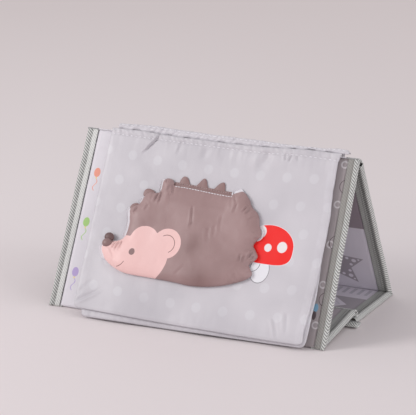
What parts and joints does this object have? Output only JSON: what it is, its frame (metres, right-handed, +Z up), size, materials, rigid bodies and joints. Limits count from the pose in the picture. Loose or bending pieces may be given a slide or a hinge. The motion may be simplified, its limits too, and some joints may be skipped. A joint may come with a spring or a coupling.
{
  "type": "cloth activity book",
  "caption": "Soft cloth activity book standing as a tent, with crinkle pages over its front panel and a padded hedgehog flap.",
  "frame": {"origin": "on the ground under the middle of the whole book's bounding box", "axes": "+X along the ridge to the right of someone facing the pages, +Y from the pages to the rear panel, +Z up"},
  "size_m": [0.29, 0.1927, 0.1634],
  "materials": {
    "page_satin": "smooth polyester satin, pale lilac grey with paler dots",
    "printed_cloth": "smooth printed cloth, near white",
    "inside_cloth": "smooth printed cloth, mid grey with paler stars and stripes",
    "twill_tape": "ribbed twill binding tape, pale green grey",
    "stiffener_board": "stiff board, hidden",
    "crinkle_film": "thin crackling film, hidden",
    "closure_tape": "hook and loop strips",
    "hedgehog_cloth": "satin, warm grey brown, with a printed pink face",
    "nose_cloth": "satin, darker grey brown",
    "flap_lining": "plain white woven lining",
    "wadding": "polyester wadding, hidden"
  },
  "bodies": {
    "front_panel": {"front_panel_outer_cloth": "printed_cloth", "front_panel_board": "stiffener_board", "front_panel_inner_cloth": "inside_cloth", "front_panel_left_tape": "twill_tape", "front_panel_right_tape": "twill_tape", "ridge_band": "twill_tape", "page_tab": "page_satin"},
    "rear_panel": {"rear_panel_outer_cloth": "printed_cloth", "rear_panel_board": "stiffener_board", "rear_panel_inner_cloth": "inside_cloth", "rear_panel_left_tape": "twill_tape", "rear_panel_right_tape": "twill_tape"},
    "base_front_flap": {"base_front_outer_cloth": "printed_cloth", "base_front_board": "stiffener_board", "base_front_inner_cloth": "inside_cloth", "base_front_left_tape": "twill_tape", "base_front_right_tape": "twill_tape", "base_front_end_binding": "twill_tape", "closure_loop_strip": "closure_tape"},
    "base_rear_flap": {"base_rear_outer_cloth": "printed_cloth", "base_rear_board": "stiffener_board", "base_rear_inner_cloth": "inside_cloth", "base_rear_left_tape": "twill_tape", "base_rear_right_tape": "twill_tape", "base_rear_rolled_hem": "twill_tape", "closure_hook_strip": "closure_tape"},
    "page_two": {"page_two_back_cloth": "page_satin", "page_two_crinkle_film": "crinkle_film", "page_two_front_cloth": "page_satin"},
    "page_one": {"page_one_back_cloth": "page_satin", "page_one_crinkle_film": "crinkle_film", "page_one_front_cloth": "page_satin", "hedgehog_spike_strip": "hedgehog_cloth"},
    "hedgehog_flap": {"hedgehog_lining": "flap_lining", "hedgehog_wadding": "wadding", "hedgehog_front_cloth": "hedgehog_cloth", "hedgehog_nose": "nose_cloth"}
  },
  "joints": [
    {"name": "ridge_hinge", "type": "hinge", "parent": "front_panel", "child": "rear_panel", "pos_m": [0, 0.00936, 0.15172], "axis": [1, 0, 0], "range_deg": [0, 124]},
    {"name": "rear_flap_hinge", "type": "hinge", "parent": "rear_panel", "child": "base_rear_flap", "pos_m": [0, 0.09657, 0], "axis": [1, 0, 0], "range_deg": [0, 120]},
    {"name": "front_flap_hinge", "type": "hinge", "parent": "front_panel", "child": "base_front_flap", "pos_m": [0, -0.07743, 0], "axis": [1, 0, 0], "range_deg": [-116, 0]},
    {"name": "page_two_hinge", "type": "hinge", "parent": "front_panel", "child": "page_two", "pos_m": [0, -0.00022, 0.16371], "axis": [1, 0, 0], "range_deg": [-275, 0]},
    {"name": "page_one_hinge", "type": "hinge", "parent": "page_two", "child": "page_one", "pos_m": [0, -0.00022, 0.16371], "axis": [1, 0, 0], "range_deg": [-275, 0]},
    {"name": "hedgehog_hinge", "type": "hinge", "parent": "page_one", "child": "hedgehog_flap", "pos_m": [0.0002, -0.03042, 0.11687], "axis": [-0.9989, 0.0204, 0.0425], "range_deg": [0, 140]}
  ]
}
